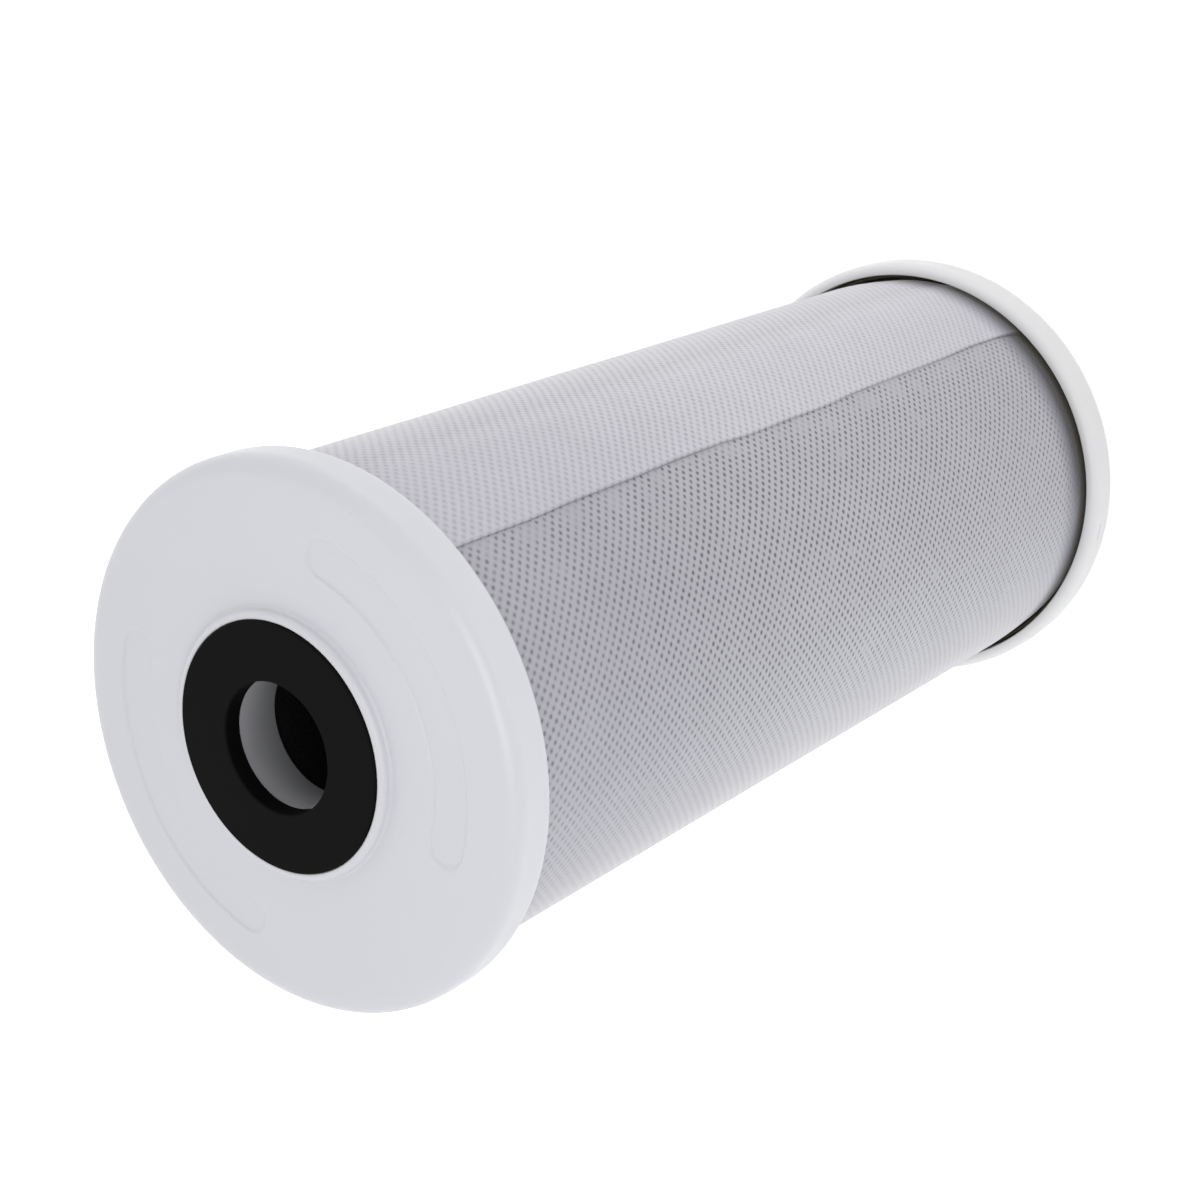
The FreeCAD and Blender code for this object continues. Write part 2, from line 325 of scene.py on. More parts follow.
def new_finish(name, **values):
    """A material with one principled shader whose inputs have these values, and that shader."""
    material = bpy.data.materials.new(name)
    material.use_nodes = True
    shader = material.node_tree.nodes["Principled BSDF"]
    for socket, value in values.items():
        shader.inputs[socket.replace("_", " ")].default_value = value
    return material, shader


def add_node(owner, kind, inputs=(), **settings):
    """Add a node to a material or world, set its options, and set or link its inputs."""
    tree = owner.node_tree
    made = tree.nodes.new(kind)
    for setting, value in settings.items():
        setattr(made, setting, value)
    for socket, value in dict(inputs).items():
        if isinstance(value, bpy.types.NodeSocket):
            tree.links.new(value, made.inputs[socket])
        else:
            made.inputs[socket].default_value = value
    return made


def reckon(owner, operation, first, second=0.0, third=0.0):
    """Result of one math node."""
    inputs = {0: first, 1: second, 2: third}
    return add_node(owner, "ShaderNodeMath", inputs, operation=operation).outputs[0]


def product(material, *factors):
    """All the factors multiplied in turn."""
    total = factors[0]
    for factor in factors[1:]:
        total = reckon(material, "MULTIPLY", total, factor)
    return total


def one_less(material, share):
    """1 less a share."""
    return reckon(material, "SUBTRACT", 1.0, share)


def hypotenuse(material, first, second):
    """Square root of the sum of two squares."""
    squares = [reckon(material, "POWER", part, 2.0) for part in (first, second)]
    return reckon(material, "SQRT", reckon(material, "ADD", *squares))


def reckon_vector(owner, operation, inputs, output=0):
    """Result of one vector math node."""
    return add_node(owner, "ShaderNodeVectorMath", inputs, operation=operation).outputs[output]


def ease(owner, value, low, high, start=0.0, end=1.0):
    """Smooth change from start to end as the value goes from low to high."""
    made = add_node(owner, "ShaderNodeMapRange",
                    {"Value": value, "From Min": low, "From Max": high, "To Min": start,
                     "To Max": end}, interpolation_type="SMOOTHSTEP")
    return made.outputs["Result"]


def blend(material, share, first, second, mode="MIX"):
    """Colour between two colours, or one laid on the other by a blend mode."""
    made = add_node(material, "ShaderNodeMix", {0: share, 6: first, 7: second},
                    data_type="RGBA", blend_type=mode)
    return made.outputs[2]


def joined_colour(material, red, green, blue):
    """Colour of three numbers."""
    inputs = {0: red, 1: green, 2: blue}
    return add_node(material, "ShaderNodeCombineColor", inputs).outputs[0]


def paint(material, shader, tint):
    """Give the shader its base colour."""
    material.node_tree.links.new(tint, shader.inputs["Base Color"])


def field(material, name):
    """Value of a point field of the mesh."""
    return add_node(material, "ShaderNodeAttribute", attribute_name=name).outputs["Fac"]


def noise(material, place, scale, detail=2.0, roughness=0.5):
    """Noise from 0 to 1 at a place."""
    made = add_node(material, "ShaderNodeTexNoise",
                    {"Vector": place, "Scale": scale, "Detail": detail, "Roughness": roughness})
    return made.outputs["Fac"]


def object_place(material):
    """Place on the piece in metres."""
    return add_node(material, "ShaderNodeTexCoord").outputs["Object"]


def rise(material, shader, height, distance, strength=1.0):
    """Raise the shading by a height from 0 to 1 over a distance in metres."""
    made = add_node(material, "ShaderNodeBump",
                    {"Height": height, "Distance": distance, "Strength": strength})
    material.node_tree.links.new(made.outputs["Normal"], shader.inputs["Normal"])


def rgba(colour, scale=1.0):
    """A colour as four numbers, scaled."""
    return (*(min(1.0, part * scale) for part in colour), 1.0)


def scuff(material, place, start, end, half_width):
    """Mask of a short scratch: 1 on the line from start to end, 0 beyond its width."""
    run = Vector(end) - Vector(start)
    way = tuple(run.normalized())
    away = reckon_vector(material, "SUBTRACT", {0: place, 1: start})
    along = reckon_vector(material, "DOT_PRODUCT", {0: away, 1: way}, "Value")
    along = reckon(material, "MINIMUM", reckon(material, "MAXIMUM", along, 0.0), run.length)
    foot = reckon_vector(material, "SCALE", {0: way, 3: along})
    distance = reckon_vector(material, "DISTANCE", {0: away, 1: foot}, "Value")
    return ease(material, distance, half_width, half_width * 2.0, 1.0, 0.0)


# The faint scratch on the bottom cap's skirt
SCRATCH_START = (-0.03176, -0.04491, 0.00962)
SCRATCH_END = (-0.03484, -0.04256, 0.00957)
SCRATCH_HALF_WIDTH = 0.00017


def moulded_plastic(colour, bottom_light_colour, neck_bore, length):
    """White polypropylene: satin, faintly mottled, with a little light under its skin.

    It is painted paler and more neutral towards the bottom end, standing in for light there.
    Painted shade darkens the neck's wall, more so towards the block.
    """
    material, shader = new_finish("white moulded polypropylene", Subsurface_Weight=0.12,
                                  Subsurface_Radius=(1.0, 1.0, 1.0), Subsurface_Scale=0.0015)
    place = object_place(material)
    mottle = noise(material, place, 45.0, 3.0)
    tint = blend(material, mottle, rgba(colour, 0.985), rgba(colour, 1.012))
    scuffed = scuff(material, place, SCRATCH_START, SCRATCH_END, SCRATCH_HALF_WIDTH)
    tint = blend(material, scuffed, tint, rgba(colour, 0.76))

    parts = add_node(material, "ShaderNodeSeparateXYZ", {0: place}).outputs
    # Painted light: towards the bottom end the plastic is made paler and more neutral
    bottom_light_ratio = (*(warm / cool for warm, cool in zip(bottom_light_colour, colour)), 1.0)
    at_bottom = ease(material, parts[2], 0.05, 0.20, 1.0, 0.0)
    tint = blend(material, at_bottom, tint, blend(material, 1.0, tint, bottom_light_ratio, "MULTIPLY"))

    radius = hypotenuse(material, parts[0], parts[1])
    depth = reckon(material, "MINIMUM", parts[2], reckon(material, "SUBTRACT", length, parts[2]))
    # Painted shade in the neck's bore, deeper towards the block
    unshaded = ease(material, depth, 0.002, 0.0145, 0.74, 0.38)
    unshaded = ease(material, radius, neck_bore, neck_bore * 1.04, unshaded, 1.0)
    tint = blend(material, 1.0, tint, joined_colour(material, unshaded, unshaded, unshaded), "MULTIPLY")
    paint(material, shader, tint)

    gloss = ease(material, noise(material, place, 160.0, 2.0), 0.3, 0.7, 0.33, 0.41)
    material.node_tree.links.new(gloss, shader.inputs["Roughness"])
    rise(material, shader, noise(material, place, 700.0, 3.0), 0.00002, 0.5)
    return material


def black_rubber(colour):
    """Moulded rubber: matt, with a fine grain and a dusting of paler marks."""
    material, shader = new_finish("black rubber", Roughness=0.6, Specular_IOR_Level=0.06)
    place = object_place(material)
    dust = ease(material, noise(material, place, 260.0, 4.0, 0.65), 0.55, 0.8)
    tint = blend(material, product(material, dust, 0.35), rgba(colour), rgba(colour, 2.2))
    paint(material, shader, tint)
    rise(material, shader, noise(material, place, 1500.0, 3.0), 0.00004, 0.7)
    return material


def pressed_carbon(colour):
    """Pressed carbon grains: matt black, each grain paler towards its edge."""
    material, shader = new_finish("pressed carbon", Roughness=0.9, Specular_IOR_Level=0.15)
    place = object_place(material)
    grains = add_node(material, "ShaderNodeTexVoronoi",
                      {"Vector": place, "Scale": 1400.0}).outputs["Distance"]
    paint(material, shader, blend(material, grains, rgba(colour, 1.8), rgba(colour, 0.5)))
    rise(material, shader, grains, 0.0003, 0.8)
    return material


def dark_glue(colour):
    """Hot melt soiled by carbon: dark, glossy and lumpy."""
    material, shader = new_finish("dark hot melt", Roughness=0.3)
    cloud = noise(material, object_place(material), 180.0, 3.0)
    paint(material, shader, blend(material, cloud, rgba(colour, 0.6), rgba(colour, 1.7)))
    rise(material, shader, cloud, 0.0006, 0.6)
    return material


def bond_net(material, spot):
    """Core and fringe of the bond points, from 0 to 1, and a random share for each point.

    The map counts cells round and along. Their sum and difference are whole numbers at
    the points, so the distance to the nearest point is that of their remainders.
    """
    wander = add_node(material, "ShaderNodeTexNoise",
                      {"Vector": spot, "Scale": 0.9, "Detail": 2.0}).outputs["Color"]
    wander = reckon_vector(material, "SUBTRACT", {0: wander, 1: (0.5, 0.5, 0.5)})
    wander = reckon_vector(material, "SCALE", {0: wander, 3: 0.16})
    moved = reckon_vector(material, "ADD", {0: spot, 1: wander})
    parts = add_node(material, "ShaderNodeSeparateXYZ", {0: moved}).outputs
    nearest = []
    away = []
    for operation, stretch in (("ADD", 1.14), ("SUBTRACT", 0.9)):
        count = reckon(material, operation, parts[0], parts[1])
        whole = reckon(material, "ROUND", count)
        nearest.append(whole)
        away.append(product(material, reckon(material, "SUBTRACT", count, whole), stretch))
    distance = hypotenuse(material, *away)
    point = add_node(material, "ShaderNodeCombineXYZ", enumerate(nearest)).outputs[0]
    luck = add_node(material, "ShaderNodeTexWhiteNoise", {"Vector": point},
                    noise_dimensions="2D").outputs["Value"]
    width = reckon(material, "MULTIPLY_ADD", luck, 0.05, 0.345)
    core = one_less(material, ease(material, distance, 0.09, width))
    fringe = ease(material, distance, 0.36, 0.62)
    return core, fringe, luck


def bonded_sheet(colours):
    """Point-bonded sheet: pale fibres with a square net of thin points set cornerwise."""
    material, shader = new_finish("bonded sheet", Roughness=0.55, Specular_IOR_Level=0.6,
                                  Sheen_Weight=1.0, Sheen_Roughness=0.3,
                                  Sheen_Tint=(0.98, 0.97, 1.0, 1.0), Coat_Weight=0.7,
                                  Coat_Roughness=0.5, Coat_IOR=1.6)
    spot = add_node(material, "ShaderNodeUVMap", uv_map="pattern").outputs["UV"]
    core, fringe, luck = bond_net(material, spot)
    # The look of two layers also carries painted sheen on the single layer just past the ramp
    double = field(material, "double")
    # 1 less the painted shadow of the bottom cap's rim, with darker cloth towards the top
    unshaded = reckon(material, "MULTIPLY_ADD", field(material, "soil"), -0.94, 1.0)

    smudge = product(material, field(material, "smudge"), 0.16)
    worn = reckon(material, "ADD", noise(material, spot, 0.35, 2.0), smudge)
    faded = product(material, ease(material, worn, 0.62, 0.74), 0.75)
    # Bond points fade in the painted shadow of the bottom cap's rim, and under painted sheen
    depth = product(material, reckon(material, "MULTIPLY_ADD", luck, 0.36, 0.84),
                    one_less(material, field(material, "shallow")),
                    ease(material, double, 0.0, 1.0, 1.0, 0.32), one_less(material, faded),
                    ease(material, unshaded, 0.2, 0.8))
    thin = product(material, core, depth)

    fibres = noise(material, spot, 5.0, 4.0, 0.7)
    cloud = noise(material, spot, 0.16, 3.0)
    shade = product(material, reckon(material, "MULTIPLY_ADD", fibres, 0.26, 0.87),
                    reckon(material, "MULTIPLY_ADD", cloud, 0.16, 0.92))
    shade = reckon(material, "ADD", shade, product(material, fringe, 0.09))
    # Painted shade along the sheet's free edge, deeper where the edge lifts
    edge_unshaded = reckon(material, "MULTIPLY_ADD", field(material, "cut"), -0.16, 1.0)
    shade = product(material, shade, edge_unshaded, unshaded)
    # The painted shadow is a little bluer
    blue = product(material, shade, reckon(material, "MULTIPLY_ADD", unshaded, -0.18, 1.18))
    shading = joined_colour(material, shade, shade, blue)
    cloth = blend(material, double, rgba(colours.cloth), rgba(colours.cloth_double))
    cloth = blend(material, 1.0, cloth, shading, "MULTIPLY")
    # Painted sheen: the cloth is made paler on one side round the axis
    paler = blend(material, 1.0, cloth, (1.10, 1.135, 1.12, 1.0), "MULTIPLY")
    cloth = blend(material, field(material, "fresh"), cloth, paler)

    # Bond points are darker in the painted shadow
    bond = blend(material, unshaded, rgba(colours.bond, 0.25), rgba(colours.bond))
    tint = blend(material, thin, cloth, bond)
    # Glue-stained cloth with painted shade in the gap at each cup
    tint = blend(material, field(material, "stain"), tint, rgba(colours.glue, 1.4))
    paint(material, shader, tint)
    height = reckon(material, "MULTIPLY_ADD", fibres, 0.25, one_less(material, core))
    rise(material, shader, height, 0.00018, 0.55)
    return material


# Pieces

def cap_angles(sizes, coarse=192, fine=24):
    """Angles round the cap, closer together where the panels' round ends lie."""
    reach = math.radians(7.5)
    ends = []
    for middle in (math.pi / 2, 3 * math.pi / 2):
        for side in (-1, 1):
            start = middle + side * (sizes.panel_half_angle - math.radians(0.5))
            ends.append(np.linspace(start, start + side * reach, fine))
    return np.unique(np.round(np.concatenate([ring_angles(coarse), *ends]) % FULL_TURN, 6))


def panel_share(sizes, radius, angle):
    """How far a point of the face lies in a sunk panel, from 0 to 1.

    The panel is an arc band with round ends: outside its angle the distance is to the
    end's centre, and inside it is to the middle line.
    """
    turn = np.abs(np.mod(angle, math.pi) - math.pi / 2)
    past = np.maximum(turn - sizes.panel_half_angle, 0.0)
    along = radius * np.sin(past)
    across = radius * np.cos(past) - sizes.panel_radius
    edge = np.hypot(along, across) - sizes.panel_half_width
    return 1.0 - smooth_step(-0.0003, 0.0002, edge)


def cap_grid(sizes):
    """The moulded cap as a closed turned surface whose face dips by the panels' share."""
    cup = sizes.cap_radius - sizes.skirt_wall
    seat = GASKET_BOX[1].z
    neck_end = CAP_BOX[1].z
    corners = [
        (sizes.neck_bore, seat, 0.0002, 3),
        (sizes.seat_radius, seat, 0.0002, 3),
        (sizes.seat_radius, sizes.collar_top, 0.0003, 4),
        (sizes.collar_radius, sizes.collar_top, 0.0011, 6),
        (sizes.collar_radius, sizes.cap_face, 0.0007, 5),
        (sizes.cap_radius, sizes.cap_face, sizes.edge_radius, 12),
        (sizes.cap_radius, sizes.cap_rim, 0.0022, 7),
        (cup, sizes.cap_rim, 0.0003, 3),
        (cup, sizes.cap_floor, 0.0012, 4),
        (sizes.neck_radius, sizes.cap_floor, 0.0004, 3),
        (sizes.neck_radius, neck_end, 0.0006, 4),
        (sizes.neck_bore, neck_end, 0.0003, 3),
    ]
    collar_foot = 4
    inner = sizes.panel_radius - sizes.panel_half_width
    outer = sizes.panel_radius + sizes.panel_half_width
    face_rows = np.concatenate([
        np.linspace(sizes.collar_radius + 0.0012, inner - 0.0008, 8),
        np.linspace(inner - 0.0005, inner + 0.0006, 9),
        np.linspace(inner + 0.0012, outer - 0.0012, 7),
        np.linspace(outer - 0.0006, outer + 0.0005, 9),
        np.linspace(outer + 0.0009, sizes.cap_radius - sizes.edge_radius - 0.0018, 6),
    ])
    face_run = np.stack([face_rows, np.full_like(face_rows, sizes.cap_face)], axis=1)
    outline = soft_outline(corners, {collar_foot: face_run})
    angles = cap_angles(sizes)
    grid = turned(outline, angles)
    on_face = ((np.abs(outline[:, 1] - sizes.cap_face) < 1e-7)
               & (outline[:, 0] > sizes.collar_radius + 0.001))
    share = panel_share(sizes, outline[:, 0][:, None], angles[None, :])
    grid[:, :, 2] += np.where(on_face[:, None], share * sizes.panel_depth, 0.0)
    return grid


class CARTRIDGE_OT_end_caps(bpy.types.Operator):
    """Make the two moulded end caps with their sunk arc panels"""

    bl_idname = "cartridge.end_caps"
    bl_label = "End caps"

    def execute(self, context):
        sizes = context.scene.cartridge_sizes
        colours = context.scene.cartridge_colours
        material = moulded_plastic(colours.cap, colours.cap_bottom_painted_light, sizes.neck_bore,
                                   sizes.overall_length)
        grid = cap_grid(sizes)
        make_pair("moulded_cap", grid, material, "end_cap",
                  sizes.overall_length)
        return {"FINISHED"}


class CARTRIDGE_OT_gaskets(bpy.types.Operator):
    """Make the two flat rubber gaskets with eased edges"""

    bl_idname = "cartridge.gaskets"
    bl_label = "Gaskets"

    def execute(self, context):
        sizes = context.scene.cartridge_sizes
        material = black_rubber(context.scene.cartridge_colours.gasket)
        inner = sizes.gasket_bore
        outer, top = GASKET_BOX[1].x, GASKET_BOX[1].z
        corners = ((inner, 0.0), (outer, 0.0), (outer, top), (inner, top))
        outline = soft_outline([(*corner, 0.0004, 5) for corner in corners])
        grid = turned(outline, ring_angles(240))
        make_pair("rubber_ring", grid, material, "gasket",
                  sizes.overall_length)
        return {"FINISHED"}


class CARTRIDGE_OT_carbon_block(bpy.types.Operator):
    """Make the pressed carbon tube with tapered ends"""

    bl_idname = "cartridge.carbon_block"
    bl_label = "Carbon block"

    def execute(self, context):
        sizes = context.scene.cartridge_sizes
        material = pressed_carbon(context.scene.cartridge_colours.carbon)
        low, high = BLOCK_BOX[0].z, BLOCK_BOX[1].z
        core = sizes.core_radius
        side = BLOCK_BOX[1].x
        foot = side - TAPER_DEPTH
        outline = soft_outline([
            (core, low, 0.0008, 4),
            (foot, low, 0.0008, 4),
            (side, low + TAPER_LENGTH, 0.014, 6),
            (side, high - TAPER_LENGTH, 0.014, 6),
            (foot, high, 0.0008, 4),
            (core, high, 0.0008, 4),
        ])
        grid = turned(outline, ring_angles(180))
        make_piece("pressed_carbon_tube", grid, material, ["carbon_block"])
        return {"FINISHED"}


# Lengths of the sheet in metres: from the block's end to the sheet's, the finer rows at
# each end, where its straight side ends, the gap under the lap, the lift of its free edge,
# its unevenness, and the unevenness of the margins of dust and glue.
SHEET_INSET = 0.0008
FINE_ROWS = 0.018
TAPER_TOP = 0.0192
LAP_GAP = 0.00003
EDGE_LIFT = 0.00016
UNEVENNESS = 0.00009
BLOTCHINESS = 0.0006

# Angles of the sheet: tucked under its lap, round the nose of its free edge, where the
# underside starts, and how far the lift of the edge reaches.
TUCK_ANGLE = math.radians(5.0)
NOSE_ANGLE = math.radians(0.3)
UNDER_ANGLE = math.radians(0.02)
LIFT_ANGLE = math.radians(2.5)

# Middle azimuth and width in degrees: where the sheet stands off the taper and the painted
# shadow by the bottom cap is narrower, where that painted shadow is lighter and wider,
# where painted sheen makes the cloth paler, and where painted sheen fades the bond points.
STANDS_OFF = (205.0, 25.0)
SHADOW_LIGHTER = (237.5, 9.0)
PAINTED_SHEEN_PALER = (224.0, 24.0)
PAINTED_SHEEN_FAINTER = (212.0, 24.0)

# Heights over which the painted shadow fades above the bottom cap's rim, and glue-stained
# cloth with painted shade fades at a cap's rim
RIM_SHADOW_FADE = (0.0150, 0.0225)
GLUE_AND_SHADE_FADE = (0.0130, 0.0162)

# By height: how loosely the sheet's free edge lies, from 0 to 1, and how far it strays.
EDGE_LOOSENESS = (
    (0.015, 1.0), (0.030, 0.6), (0.043, 0.9), (0.055, 0.2), (0.062, 0.05), (0.073, 0.4),
    (0.080, 0.15), (0.092, 0.4), (0.102, 0.1), (0.115, 0.4), (0.128, 0.0), (0.139, 0.05),
    (0.147, 0.5), (0.160, 1.0), (0.172, 0.75), (0.184, 0.85), (0.195, 0.45), (0.235, 0.45),
)
EDGE_STRAY = (
    (0.015, 0.0007), (0.025, 0.0012), (0.037, 0.0014), (0.050, 0.0010), (0.095, 0.0007),
    (0.105, 0.0002), (0.112, 0.0001), (0.120, 0.0003), (0.138, 0.0002), (0.147, 0.0007),
    (0.165, 0.0007), (0.180, 0.0003), (0.200, 0.0002), (0.212, -0.0003), (0.235, -0.0001),
)


def side_drop(height, length):
    """How far the sheet's surface lies below its straight side at a height.

    Near each end it follows the slope of the block's taper, and a soft corner joins the
    two: reach * log(1 + exp(depth / reach)).
    """
    slope = TAPER_DEPTH / TAPER_LENGTH
    reach = 0.00025
    bottom = (TAPER_TOP - height) * slope
    top = (height - (length - TAPER_TOP)) * slope
    return reach * (np.logaddexp(0.0, bottom / reach) + np.logaddexp(0.0, top / reach))


def sheet_section(sizes):
    """The sheet's section as rows of one value for each point, from its tucked start.

    turn is the angle from the free edge, over is 1 on the lap and falls to 0 down the ramp,
    layer is the share of one thickness that the lap adds, and cut is 1 on the free
    edge, where shade is painted.
    """
    top_of_ramp = sizes.lap_width + sizes.ramp_width
    edge_turn = np.linspace(0.0, math.pi / 2, 7)
    single = np.linspace(FULL_TURN + TUCK_ANGLE, top_of_ramp, 500, endpoint=False)
    ramp = np.linspace(top_of_ramp, sizes.lap_width, 12, endpoint=False)
    lap = np.linspace(sizes.lap_width, NOSE_ANGLE, 44, endpoint=False)
    edge = NOSE_ANGLE * (1.0 - np.sin(edge_turn))
    under = np.linspace(UNDER_ANGLE, TUCK_ANGLE, 8)
    turn = np.concatenate([single, ramp, lap, edge, under])
    over = 1.0 - smooth_step(sizes.lap_width, top_of_ramp, turn)
    over[:len(single)] = 0.0
    layer = np.concatenate([np.zeros(len(single)), np.ones(len(ramp) + len(lap)),
                            np.cos(edge_turn), np.zeros(len(under))])
    cut = np.zeros(turn.size)
    cut[-len(edge) - len(under):] = 1.0
    cut[-len(under):] = 0.5
    return turn[None, :], over[None, :], layer[None, :], cut[None, :]


def sheet_fields(sizes, angle, heights, turn, over):
    """Point fields that the finish reads, each from 0 to 1.

    double is the look of two layers, with painted sheen on the single layer just past the
    ramp; fresh makes the cloth paler on one side; shallow is fainter bond
    points near the ends and, as painted sheen, on one side; stain is
    glue-stained cloth with painted shade in the gap at each cup; soil
    is the painted shadow of the bottom cap's rim, with darker cloth towards the top; and
    smudge is worn points beside the free edge.
    """
    azimuth = np.remainder(angle, FULL_TURN)
    blotch = BLOTCHINESS * slow_waves(angle, heights, 5)
    depth_in_cup = np.minimum(heights, sizes.overall_length - heights)
    # Glue-stained cloth with painted shade, where the sheet goes into each cup
    stain = 0.8 * (1.0 - smooth_step(*GLUE_AND_SHADE_FADE, depth_in_cup + blotch))

    # Painted shadow of the bottom cap's rim on the sheet: deepest and widest round 276 degrees,
    # lighter and wider round 237.5 degrees, narrower round 205 degrees
    opposite = np.remainder(angle - math.radians(96.0), FULL_TURN) - math.pi
    side = np.exp(-opposite ** 2 / 0.7)
    shadow_lighter = bulge(azimuth, *SHADOW_LIGHTER)
    shadow_foot, shadow_top = RIM_SHADOW_FADE
    margin = shadow_top + 0.0045 * side + 0.0016 * shadow_lighter - 0.0018 * bulge(azimuth, *STANDS_OFF)
    soil = (0.75 + 0.25 * side) * (1.0 - 0.3 * shadow_lighter)
    soil = soil * (1.0 - smooth_step(shadow_foot, margin, heights + blotch))
    # Darker cloth towards the top end
    soil = np.maximum(soil, 0.14 * smooth_step(0.12, 0.21, heights))

    near_top = 0.35 * smooth_step(0.15, 0.225, heights)
    near_bottom = 0.22 * (1.0 - smooth_step(0.03, 0.08, heights))
    # Painted sheen: bond points fainter on one side round the axis
    fainter = 0.45 * bulge(azimuth, *PAINTED_SHEEN_FAINTER)
    top_of_ramp = sizes.lap_width + sizes.ramp_width
    # Painted sheen: the single layer just past the ramp takes part of the look of two layers
    sheen_beyond_ramp = 0.6 * (1.0 - smooth_step(top_of_ramp, top_of_ramp + 1.2, turn))
    smudge = smooth_step(FULL_TURN - math.radians(9.0), FULL_TURN - math.radians(1.0), turn)
    return {
        "double": np.broadcast_to(np.maximum(over, sheen_beyond_ramp), angle.shape),
        # Painted sheen on one side
        "fresh": bulge(azimuth, *PAINTED_SHEEN_PALER),
        "shallow": 1.0 - (1.0 - near_top) * (1.0 - near_bottom) * (1.0 - fainter),
        "stain": stain,
        "soil": soil,
        "smudge": np.broadcast_to(smudge, angle.shape),
    }


class CARTRIDGE_OT_sheet(bpy.types.Operator):
    """Make the bonded sheet: once round the block, a ramp over its own edge, and the lap"""

    bl_idname = "cartridge.sheet"
    bl_label = "Sheet"

    def execute(self, context):
        sizes = context.scene.cartridge_sizes
        material = bonded_sheet(context.scene.cartridge_colours)
        low = BLOCK_BOX[0].z + SHEET_INSET
        high = BLOCK_BOX[1].z - SHEET_INSET
        heights = np.concatenate([
            np.linspace(low, low + FINE_ROWS, 30, endpoint=False),
            np.linspace(low + FINE_ROWS, high - FINE_ROWS, 100, endpoint=False),
            np.linspace(high - FINE_ROWS, high, 31)])[:, None]
        turn, over, layer, cut = sheet_section(sizes)

        loose = np.interp(heights, *np.array(EDGE_LOOSENESS).T)
        gap = LAP_GAP + EDGE_LIFT * loose * np.exp(-turn / LIFT_ANGLE)
        offset = over * (gap + layer * sizes.sheet_thickness)
        stray = np.interp(heights, *np.array(EDGE_STRAY).T) / sizes.sheet_radius
        stray = stray * smooth_step(0.7, 0.0, turn / sizes.lap_width) * (over > 0.99)
        angle = sizes.seam_angle + turn + stray
        uneven = UNEVENNESS * slow_waves(angle, heights, 11)
        fade = smooth_step(0.0, 0.03, heights - low) * smooth_step(0.0, 0.03, high - heights)
        stands_off = 0.4 * bulge(np.remainder(angle, FULL_TURN), *STANDS_OFF)
        drop = side_drop(heights, sizes.overall_length) * (1.0 - stands_off)
        radius = sizes.sheet_radius - drop + offset + uneven * fade
        grid = np.stack([radius * np.cos(angle), radius * np.sin(angle),
                         np.broadcast_to(heights, radius.shape)], axis=2)

        cells_round = np.broadcast_to(turn * sizes.bond_columns / FULL_TURN, radius.shape)
        cells_along = np.broadcast_to(heights / sizes.bond_pitch, radius.shape)
        pattern = np.stack([cells_round, cells_along], axis=2)
        fields = sheet_fields(sizes, angle, heights, turn, over)
        # Painted shade along the free edge, deeper where it lifts
        fields["cut"] = cut * (0.35 + 0.65 * loose)
        piece = make_piece("bonded_sheet", grid, material, ["outer_wrap"],
                           closed_rows=False, closed_columns=False, pattern=pattern,
                           fields=fields)
        return {"FINISHED"}


class CARTRIDGE_OT_glue_beds(bpy.types.Operator):
    """Make the glue beds with the bead that is squeezed out round the sheet"""

    bl_idname = "cartridge.glue_beds"
    bl_label = "Glue beds"

    def execute(self, context):
        sizes = context.scene.cartridge_sizes
        material = dark_glue(context.scene.cartridge_colours.glue)
        clear = 0.00005
        cup = sizes.cap_radius - sizes.skirt_wall - clear
        floor = sizes.cap_floor
        neck = sizes.neck_radius
        inner = 0.030
        bed = BLOCK_BOX[0].z
        foot = BLOCK_BOX[1].x - TAPER_DEPTH + 0.0012
        bead_height = 0.003
        outline = np.array([
            (neck, floor), (inner, floor), (cup - 0.0013, floor), (cup - 0.0003, floor + 0.0003),
            (cup, floor + 0.0013), (cup, bed + 0.0025), (cup - 0.0003, bed + 0.0032),
            (cup - 0.0007, bed + 0.0034), (cup - 0.0011, bed + 0.0032),
            (foot + 0.0003, bed + 0.0022), (foot + 0.0001, bed + 0.0010), (foot, bed + 0.0002),
            (foot - 0.0003, bed - clear), (inner, bed - clear), (neck, bed - clear),
        ])
        angles = ring_angles(240)
        grid = turned(outline, angles)
        bead = np.clip((outline[:, 1] - bed) / bead_height, 0.0, 1.0)[:, None]
        grid[:, :, 2] += bead * 0.0007 * slow_waves(angles[None, :], 0.0, 21)
        make_pair("glue_bead", grid, material, "glue_bed", sizes.overall_length)
        return {"FINISHED"}


# Stage

# Name, place, target, size and the studio's property with the power of each softbox
SOFTBOXES = (
    ("upper_softbox", (0.42, -0.20, 0.05), (0.0, 0.0, 0.03), (0.45, 0.12), "upper_light"),
    ("lower_softbox", (-0.42, -0.12, 0.05), (0.0, 0.0, 0.03), (0.45, 0.12), "lower_light"),
    ("key_softbox", (-0.13, -0.48, 0.70), (0.0, 0.0, 0.20), (0.6, 0.3), "key_light"),
    ("front_softbox", (0.15, -0.80, 0.08), (0.0, 0.0, 0.06), (0.7, 0.14), "front_light"),
)
FLOOR_HEIGHT = -0.0001
FLOOR_RINGS = (0.001, 0.3, 1.0, 4.0)
FRONT_DIRECTION = (0.01, -0.65, 0.76)
WHITE = (1.0, 1.0, 1.0, 1.0)


def softbox(name, place, target, size, power):
    """A rectangular area lamp that faces a target."""
    lamp = bpy.data.lights.new(name, "AREA")
    lamp.shape = "RECTANGLE"
    lamp.size, lamp.size_y = size
    lamp.energy = power
    holder = bpy.data.objects.new(name, lamp)
    holder.location = place
    holder.rotation_mode = "QUATERNION"
    holder.rotation_quaternion = (Vector(target) - Vector(place)).to_track_quat("-Z", "Y")
    bpy.context.scene.collection.objects.link(holder)


